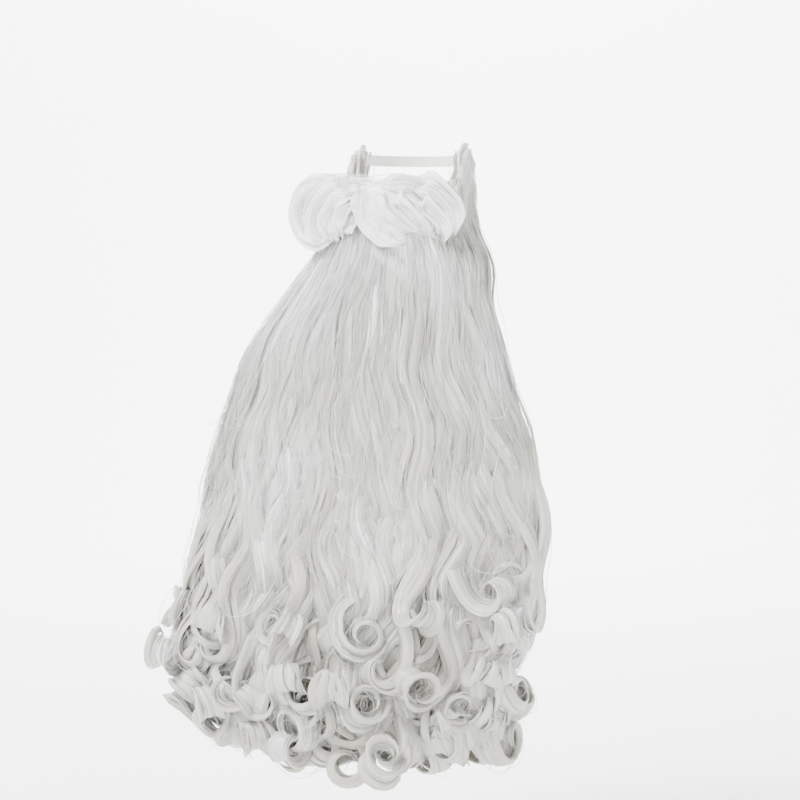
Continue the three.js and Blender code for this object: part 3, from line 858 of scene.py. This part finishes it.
def roll_path(row):
    """A tress that leaves the parting upwards and rolls round into a large curl."""
    angle = np.radians(np.linspace(78, row.end, 60))
    radius = row.radius * MM * np.linspace(1, 0.85, 60)
    roll = ROLL_CENTRE + radius[:, None] * joined(np.cos(angle), np.sin(angle))
    dome = ROLL_DOME * (1 - (radius / ROLL_RADIUS) ** 2)
    lead = np.linspace(0, 1, 26)[:-1]
    start = mix(np.array([ROLL_ROOT, row.root_z * MM]), roll[0], lead[:, None])
    start[:, 1] += 4 * MM * np.sin(np.pi * lead)
    x, z = np.concatenate([start, roll]).T
    place = np.linspace(0, 1, len(x))
    out = row.out * mix(0.3, 1, smooth(place, 0.1, 0.42)) * mix(1, 0.8, smooth(place, 0.75, 1))
    forward = np.concatenate([dome[0] * smooth(lead, 0.2, 1), dome])
    return joined(x, wing_depth(x, out) - forward, z)


def swept_path(row):
    """A tress that sweeps down and outwards from the lip."""
    place = np.linspace(0, 1, 85)
    controls = joined(np.array(row.x) * MM, np.array(row.z) * MM)
    x, z = table_curve([0, 0.34, 0.7, 1], controls)(place).T
    out = row.out * mix(0.1, 1, smooth(place, 0, 0.35)) * mix(1, 0.8, smooth(place, 0.8, 1))
    return joined(x, wing_depth(x, out), z)


def moustache_core():
    """The hair inside the moustache, which closes it behind its tresses."""
    share = np.linspace(-1, 1, 61)[None, :]
    place = np.linspace(0, 1, 22)[:, None]
    x = np.where(share < 0, 104, 72) * MM * share
    top = (45 - 26 * np.abs(share) ** 3) * MM
    bottom = mix(12 * MM, -22 * MM, smooth(np.abs(share), 0.05, 0.5)) + 20 * MM * np.abs(share) ** 6
    z = mix(top, bottom, place)
    x = np.broadcast_to(x, z.shape)
    full = np.sqrt(np.sin(np.pi * mix(0.06, 0.94, place))) * np.sqrt(np.clip(1.02 - share**6, 0, 1))
    outer = joined(x, wing_depth(x, 0.72 * full), z)
    inner = joined(x, wing_depth(x, 0.0) + 0.4 * MM, z)
    strand = joined(x * 0.5, z, 0.3).reshape(-1, 3)
    # Painted shade: the inner hair of the moustache gets a lower tone, so it shows greyer between the
    # tresses.
    return shell_mesh("moustache_core", outer, inner, strand, 0.75)


class MoustacheOperator(bpy.types.Operator):
    """Builds the two rolled wings of the moustache"""

    bl_idname = "beard.moustache"
    bl_label = "Moustache"

    def execute(self, context):
        look = context.scene.beard_hair
        dark = tuple(0.82 * channel for channel in look.moustache)
        # Painted shade colour of the moustache, which its inner hair and the edges of its tresses are mixed
        # towards.
        painted_shade_colour = tuple(0.8 * channel for channel in look.moustache)
        material = material_once("Moustache Hair", hair_material, look.moustache, dark, painted_shade_colour)
        draw = np.random.default_rng(11)
        rolled, swept = map(roll_path, ROLL_TRESSES), map(swept_path, SWEPT_TRESSES)
        points = np.stack([*rolled, *swept])
        half = np.array([row.half for row in ROLL_TRESSES + SWEPT_TRESSES]) * MM
        along = unit(np.gradient(points, axis=1))
        rising = 1.2 * (1 - smooth(np.linspace(0, 1, points.shape[1]), 0.1, 0.5))
        facing = joined(0, -1, rising)[None]
        path = with_directions(points, np.cross(along, square_to(facing, along)))
        strands = strands_of(path, 10, half, half * 0.8, 0.05, draw, 36, 0.85, (-0.15, 0.15), 0, 0.35)
        total = len(strands["points"])
        place = np.linspace(0, 1, 36)[None, :]
        taper = mix(0.15, 1, smooth(place, 0, 0.4)) * mix(1, 0.15, smooth(place, 0.8, 1))
        width = half[strands["owner"]][:, None] * draw.uniform(0.4, 0.75, (total, 1)) * taper
        # Painted shade: strands at a tress's sides get a lower tone; the random term is tone that differs
        # from strand to strand.
        tone_and_painted_shade = 1 - 0.15 * draw.random((total, 1)) - 0.55 * strands["side"] ** 3 + 0 * place
        tresses = tube_mesh("moustache_tresses", strands, width, width * 0.2, 6, tone_and_painted_shade, draw)
        hairs = fibre_mesh("moustache_hairs", path, 10, half, half * 0.8, draw, 36)
        for mesh in (tresses, hairs, moustache_core()):
            add_piece(mesh, material, "moustache")
        return {"FINISHED"}


# Length along the jaw, close to the ear, for one whole share of the way from chin to ear
EAR_LENGTH = JAW_DEPTH / 0.65


def mouth_gap(x):
    """Half the height of the mouth opening at a place across it: a slot with round ends."""
    radius = MOUTH_HEIGHT / 2
    beyond = np.clip(np.abs(x) - (MOUTH_HALF_WIDTH - radius), 0, radius)
    return np.sqrt(radius**2 - beyond**2) * (np.abs(x) < MOUTH_HALF_WIDTH - 1e-9)


def backing_columns():
    """Places across the backing, closer together at the ends of the mouth opening and of the cloth."""
    radius = MOUTH_HEIGHT / 2
    ends = MOUTH_HALF_WIDTH - radius + radius * np.sin(np.linspace(0, math.pi / 2, 9))
    slot = 2 / math.pi * np.arcsin(ends / JAW_HALF_WIDTH)
    even = np.linspace(0, 1, 86)
    clear = even[np.abs(even[:, None] - slot).min(1) > 0.004]
    hem = 1 - np.array([0.4, 1.2, 4.8, 5.6, 6.2, 7.2]) * MM / EAR_LENGTH
    half = np.unique(np.round(np.concatenate([clear, slot, hem]), 7))
    return np.concatenate([-half[:0:-1], half])


def backing_panel(top, bottom, top_hem, bottom_hem):
    """Heights of a panel's rows, set close together over its hems."""
    near = np.array([0, 0.4, 1.2, 3, 4.4, 5.6, 6.2, 7.4]) * MM
    fit = np.minimum(1, 0.42 * (top - bottom) / near[-1]) / HEM_WIDTH
    above = top - near[:, None] * fit * top_hem
    below = bottom + near[::-1, None] * fit * bottom_hem
    between = mix(above[-1], below[0], np.array([[0.25], [0.5], [0.75]]))
    return np.concatenate([above, between, below])


def backing_mesh():
    """The cloth backing: two panels that meet beside the mouth opening, with turned hems."""
    across = backing_columns()
    x = JAW_HALF_WIDTH * np.sin(across * math.pi / 2)
    top, bottom = cheek_line(across), jaw_line(across)
    slot_end = 2 / math.pi * math.asin(MOUTH_HALF_WIDTH / JAW_HALF_WIDTH)
    end_top, end_bottom = cheek_line(np.array([slot_end])), jaw_line(np.array([slot_end]))
    share = (MOUTH_CENTRE - end_bottom) / (end_top - end_bottom)
    centre = np.where(np.abs(across) <= slot_end + 1e-6, MOUTH_CENTRE, mix(bottom, top, share))
    gap = mouth_gap(x)
    panels = [
        backing_panel(top, centre + gap, HEM_WIDTH, MOUTH_HEM_WIDTH),
        backing_panel(centre - gap, bottom, MOUTH_HEM_WIDTH, HEM_WIDTH),
    ]
    bm = bmesh.new()
    strand = bm.verts.layers.float_vector.new("strand")

    def bridge(first, second):
        for corners in zip(first[:-1], first[1:], second[1:], second[:-1]):
            bm.faces.new(corners)

    for rows, heights in enumerate(panels):
        wide = np.broadcast_to(across, heights.shape)
        from_edge = np.minimum(top - heights, heights - bottom)
        from_edge = np.minimum(from_edge, (1 - np.abs(wide)) * EAR_LENGTH)
        beside = np.clip(np.abs(x) - MOUTH_HALF_WIDTH + MOUTH_HEIGHT / 2, 0, None)
        from_slot = np.hypot(beside, heights - MOUTH_CENTRE) - MOUTH_HEIGHT / 2
        raised = np.maximum(
            smooth(from_edge, HEM_WIDTH + 0.3 * MM, HEM_WIDTH - 0.4 * MM),
            smooth(from_slot, MOUTH_HEM_WIDTH + 0.3 * MM, MOUTH_HEM_WIDTH - 0.4 * MM),
        )
        rounding = 0.35 * MM * np.clip(1 - np.minimum(from_edge, from_slot) / (1.2 * MM), 0, 1) ** 2
        inner, _ = jaw_point(wide, heights, -HEM_RELIEF * raised + rounding)
        outer, _ = jaw_point(wide, heights, BACKING_WALL - rounding)
        layers = []
        for side, points, turn in ((0, outer, 1), (1, inner, -1)):
            layers.append([[bm.verts.new(point) for point in line] for line in points])
            for line in layers[-1]:
                for vertex, place in zip(line, across):
                    vertex[strand] = (place * EAR_LENGTH, vertex.co.z, side)
            for upper, lower in zip(layers[-1][:-1], layers[-1][1:]):
                bridge(upper[::turn], lower[::turn])
        out, back = layers
        for end, first, second in ((0, out, back), (-1, back, out)):
            bridge([line[-1 - end] for line in first], [line[-1 - end] for line in second])
            for j in range(len(across) - 1):
                if end == -rows or max(gap[j], gap[j + 1]) > 0:
                    bridge(first[end][j : j + 2], second[end][j : j + 2])
    bmesh.ops.remove_doubles(bm, verts=bm.verts[:], dist=1e-6)
    bmesh.ops.recalc_face_normals(bm, faces=bm.faces[:])
    mesh = bpy.data.meshes.new("backing_cloth")
    bm.to_mesh(mesh)
    bm.free()
    mesh.shade_smooth()
    return mesh


def stitches_along(line, inward):
    """Short stitches that follow a line of points, each sunk into the cloth at its ends."""
    run = run_along(line, 0)
    pace = STITCH_LENGTH + STITCH_GAP
    share = np.linspace(0, 1, 6)
    places = (np.arange(run[-1] // pace) + 0.2)[:, None] * pace + share * STITCH_LENGTH
    points, facing = (
        np.stack([np.interp(places, run, values[:, k]) for k in range(3)], -1) for values in (line, inward)
    )
    arch = STITCH_RADIUS * mix(-0.9, 0.7, np.sin(np.pi * share))
    return points + unit(facing) * arch[:, None]


def hem_stitches():
    """Lines of stitches round the hem of the backing, on its inner side."""
    limit = 1 - STITCH_INSET / EAR_LENGTH
    across = np.linspace(-limit, limit, 400)
    lines = [(across, cheek_line(across) - STITCH_INSET), (across, jaw_line(across) + STITCH_INSET)]
    for end in (-limit, limit):
        heights = np.linspace(SIDEBURN_TOP - STITCH_INSET, SIDEBURN_FOOT + STITCH_INSET, 60)
        lines.append((np.full(60, end), heights))
    groups = []
    for wide, heights in lines:
        points, outward = jaw_point(wide, heights, -HEM_RELIEF)
        groups.append(stitches_along(points, -outward))
    return np.concatenate(groups)


class BackingOperator(bpy.types.Operator):
    """Builds the cloth backing that cups the chin, with its stitched hem"""

    bl_idname = "beard.backing"
    bl_label = "Cloth Backing"

    def execute(self, context):
        look = context.scene.beard_cloth
        threads = (0.9 * MM, 0.9 * MM)
        material = material_once("Backing Cloth", cloth_material, look.backing, threads, 0.25 * MM, 0.8)
        cloth = add_piece(backing_mesh(), material, "chin_backing")
        threads = (0.5 * MM, 0.4 * MM)
        thread = material_once("Sewing Thread", cloth_material, look.thread, threads, 0.1 * MM, 0.3)
        points = hem_stitches()
        along = unit(np.gradient(points, axis=1))
        upward = np.broadcast_to([0.0, 0.0, 1.0], points.shape) + 1e-3
        paths = {"points": points, "wide": square_to(upward, along)}
        radius = STITCH_RADIUS * np.array([[0.5, 0.9, 1, 1, 0.9, 0.5]]) * np.ones((len(points), 1))
        mesh = tube_mesh("hem_stitches", paths, radius, radius, 6, 0 * radius + 1, np.random.default_rng(5))
        seam = add_piece(mesh, thread, "chin_backing")
        return {"FINISHED"}


class BandOperator(bpy.types.Operator):
    """Builds the ribbed elastic band"""

    bl_idname = "beard.band"
    bl_label = "Elastic Band"

    def execute(self, context):
        look = context.scene.beard_cloth
        threads = (1.0 * MM, 1.6 * MM)
        material = material_once("Elastic", cloth_material, look.elastic, threads, 0.3 * MM, 0.2)
        turn = np.pad(np.linspace(0, math.pi, 121), 2, "edge")
        back = np.pad(np.zeros(121), 2, "linear_ramp", end_values=BAND_OVERLAP)
        half = JAW_HALF_WIDTH * math.sin(math.acos(BAND_OVERLAP / JAW_DEPTH)) - GAP - BAND_THICKNESS / 2
        rounds = HEAD_BACK - JAW_DEPTH - GAP - BAND_THICKNESS / 2
        y = JAW_DEPTH - back + rounds * np.sin(turn)
        line = joined(half * np.cos(turn), y, BAND_CENTRE)
        along = unit(np.gradient(line, axis=0))
        upward = np.array([0.0, 0.0, 1.0])
        out = np.cross(along, upward)
        around = np.linspace(0, TURN, 61)[:-1]
        flat = np.clip(1.12 * np.cos(around), -1, 1)
        rib = 1 - 0.22 * np.cos(flat * 7 * math.pi) ** 2 * (np.abs(flat) < 0.98)
        face = np.clip(3 * np.sin(around), -1, 1) * rib
        rings = line[:, None] + upward * (flat * BAND_WIDTH / 2)[:, None]
        rings = rings + out[:, None] * (face * BAND_THICKNESS / 2)[:, None]
        mesh = smooth_mesh("elastic_ribs", rings, tube_faces(1, *rings.shape[:2]))
        run = run_along(rings[:, 0], 0)[:, None]
        add_layer(mesh, "strand", joined(flat * BAND_WIDTH / 2, run, 0.0))
        add_piece(mesh, material, "elastic_band")
        return {"FINISHED"}


class StageOperator(bpy.types.Operator):
    """Sets up the floor, the lights and the camera"""

    bl_idname = "beard.stage"
    bl_label = "Stage"

    def execute(self, context):
        look = context.scene.beard_stage
        scene = context.scene
        nodes = Nodes("Pale Floor")
        nodes.shade({"Base Color": rgba(look.floor), "Roughness": 0.9})
        bend = np.radians(np.linspace(-90, 0, 12))
        radius = np.concatenate([[0.4, 1.6, 2.8], 3.4 + 1.4 * np.cos(bend), [4.85, 4.9]])
        height = np.concatenate([[0, 0, 0], 1.4 + 1.4 * np.sin(bend), [2.6, 3.8]])
        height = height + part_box("beard_fall")[0][2] - FLOOR_DROP
        radius, height = radius[:, None], height[:, None]
        turn = np.linspace(0, TURN, 97)[:-1]
        points = joined(radius * np.sin(turn), radius * np.cos(turn), height)
        mesh = smooth_mesh("floor", points, tube_faces(1, *points.shape[:2])[:-1])
        floor = bpy.data.objects.new("floor", mesh)
        floor.data.materials.append(nodes.material)
        scene.collection.objects.link(floor)

        scene.world = bpy.data.worlds.new("Studio")
        scene.world.use_nodes = True
        background = scene.world.node_tree.nodes["Background"]
        background.inputs["Color"].default_value = (1, 1, 1, 1)
        background.inputs["Strength"].default_value = 0.9

        for row in LIGHTS:
            lamp = bpy.data.lights.new(row.name, "AREA")
            lamp.size = row.size
            lamp.energy = row.power
            light = bpy.data.objects.new(row.name, lamp)
            light.location = row.place
            beam = Vector(row.aim) - Vector(row.place)
            light.rotation_euler = beam.to_track_quat("-Z", "Y").to_euler()
            scene.collection.objects.link(light)

        camera = bpy.data.cameras.new("camera")
        camera.lens = look.lens
        camera.sensor_width = 36
        view = bpy.data.objects.new("camera", camera)
        view.rotation_euler = Euler((math.pi / 2 - look.elevation, 0, look.azimuth))
        view.location = view.rotation_euler.to_matrix() @ Vector((*CAMERA_AIM, look.distance))
        scene.collection.objects.link(view)
        scene.camera = view
        return {"FINISHED"}


class BeardPanel(bpy.types.Panel):
    """Lists the steps that build the beard"""

    bl_idname = "VIEW3D_PT_costume_beard"
    bl_label = "Costume Beard"
    bl_space_type = "VIEW_3D"
    bl_region_type = "UI"
    bl_category = "Beard"

    def draw(self, context):
        for operator in OPERATORS:
            self.layout.operator(operator.bl_idname)
        for name in SETTINGS:
            settings = getattr(context.scene, name)
            for key in settings.bl_rna.properties.keys():
                if key not in {"rna_type", "name"}:
                    self.layout.prop(settings, key)


OPERATORS = [CoreOperator, LockOperator, MoustacheOperator, BackingOperator, BandOperator, StageOperator]
SETTINGS = {
    "beard_fall": FallSizes,
    "beard_hair": HairLook,
    "beard_cloth": ClothLook,
    "beard_stage": StageLook,
}


def register():
    for kind in (*SETTINGS.values(), *OPERATORS, BeardPanel):
        bpy.utils.register_class(kind)
    for name, kind in SETTINGS.items():
        setattr(bpy.types.Scene, name, bpy.props.PointerProperty(type=kind))


def unregister():
    for name in SETTINGS:
        delattr(bpy.types.Scene, name)
    for kind in (BeardPanel, *reversed(OPERATORS), *reversed(SETTINGS.values())):
        bpy.utils.unregister_class(kind)


def main():
    register()
    bpy.ops.beard.core()
    bpy.ops.beard.locks()
    bpy.ops.beard.moustache()
    bpy.ops.beard.backing()
    bpy.ops.beard.band()
    bpy.ops.beard.stage()


if __name__ == "__main__":
    main()
